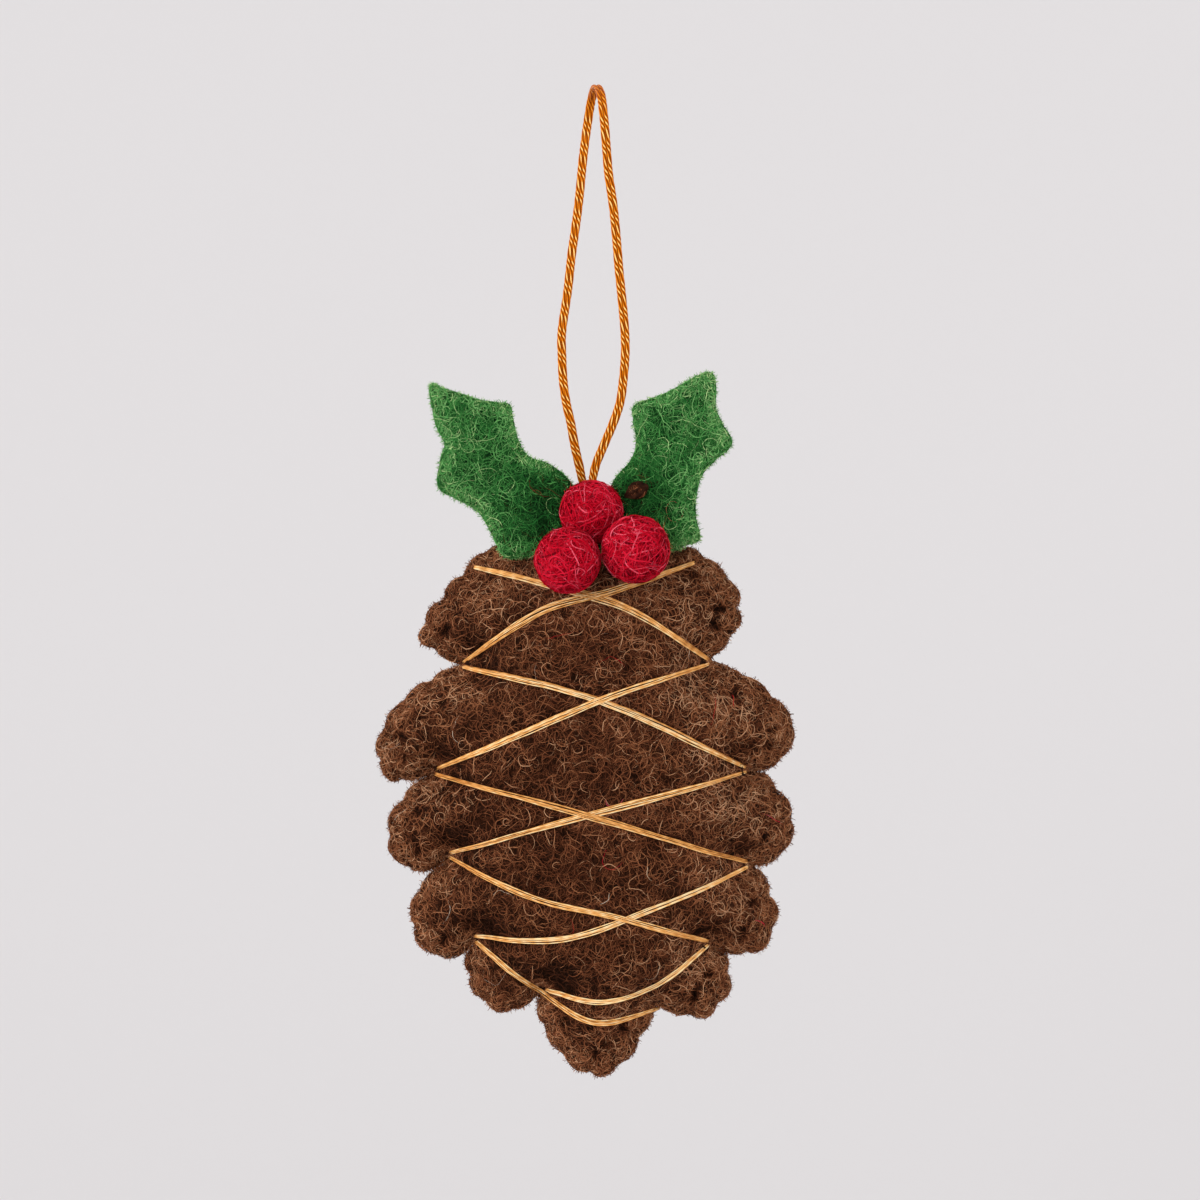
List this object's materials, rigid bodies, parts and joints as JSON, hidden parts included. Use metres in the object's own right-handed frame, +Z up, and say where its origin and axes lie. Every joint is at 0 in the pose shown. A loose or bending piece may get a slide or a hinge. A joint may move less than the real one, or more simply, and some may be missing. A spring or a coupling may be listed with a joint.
{
  "type": "hanging pinecone ornament",
  "caption": "Stuffed felt pinecone on a loop of twisted cord, its scalloped sides laced with gold floss, with felt holly leaves and berries over its top.",
  "frame": {"origin": "inside of the top of the cord's loop, where the loop rests on whatever holds it up", "axes": "+Z up along the hanging cord, -Y towards the side with the leaves and berries, +X to the right as that side is seen"},
  "size_m": [0.0652, 0.0288, 0.1552],
  "materials": {
    "orange_cord": "satin twisted cord",
    "brown_felt": "matte wool felt",
    "white_fill": "matte loose fibre",
    "brown_thread": "matte sewing thread",
    "gold_floss": "satin stranded floss",
    "red_felt": "matte wool felt",
    "red_thread": "matte sewing thread",
    "green_felt": "matte wool felt",
    "brown_wool": "matte wool"
  },
  "bodies": {
    "loop_top": {"cord_top": "orange_cord"},
    "loop": {"cord_leg_left": "orange_cord", "cord_leg_right": "orange_cord"},
    "pinecone": {"cord_knot": "orange_cord", "front_panel": "brown_felt", "back_panel": "brown_felt", "stuffing": "white_fill", "seam_thread": "brown_thread", "lacing_front_a": "gold_floss", "lacing_front_b": "gold_floss", "lacing_back_a": "gold_floss", "lacing_back_b": "gold_floss", "berry_top": "red_felt", "berry_left": "red_felt", "berry_right": "red_felt", "berry_thread": "red_thread"},
    "left_leaf": {"leaf_left": "green_felt"},
    "right_leaf": {"leaf_right": "green_felt", "wool_bud": "brown_wool"}
  },
  "joints": [
    {"name": "swing_over_bar", "type": "hinge", "parent": "loop_top", "child": "loop", "pos_m": [0, 0, -0.005], "axis": [1, 0, 0], "range_deg": [-45, 45]},
    {"name": "spin_on_cord", "type": "hinge", "parent": "loop", "child": "pinecone", "pos_m": [-0.0015, 0, -0.0613], "axis": [0, 0, 1], "range_deg": [-180, 180], "stiffness_Nm_per_rad": 0.0002},
    {"name": "bend_left_leaf", "type": "hinge", "parent": "pinecone", "child": "left_leaf", "pos_m": [-0.0015, -0.0047, -0.0711], "axis": [-1, 0, 0], "range_deg": [-5, 20], "stiffness_Nm_per_rad": 0.003},
    {"name": "bend_right_leaf", "type": "hinge", "parent": "pinecone", "child": "right_leaf", "pos_m": [-0.0015, -0.0047, -0.0711], "axis": [-1, 0, 0], "range_deg": [-5, 20], "stiffness_Nm_per_rad": 0.003}
  ]
}
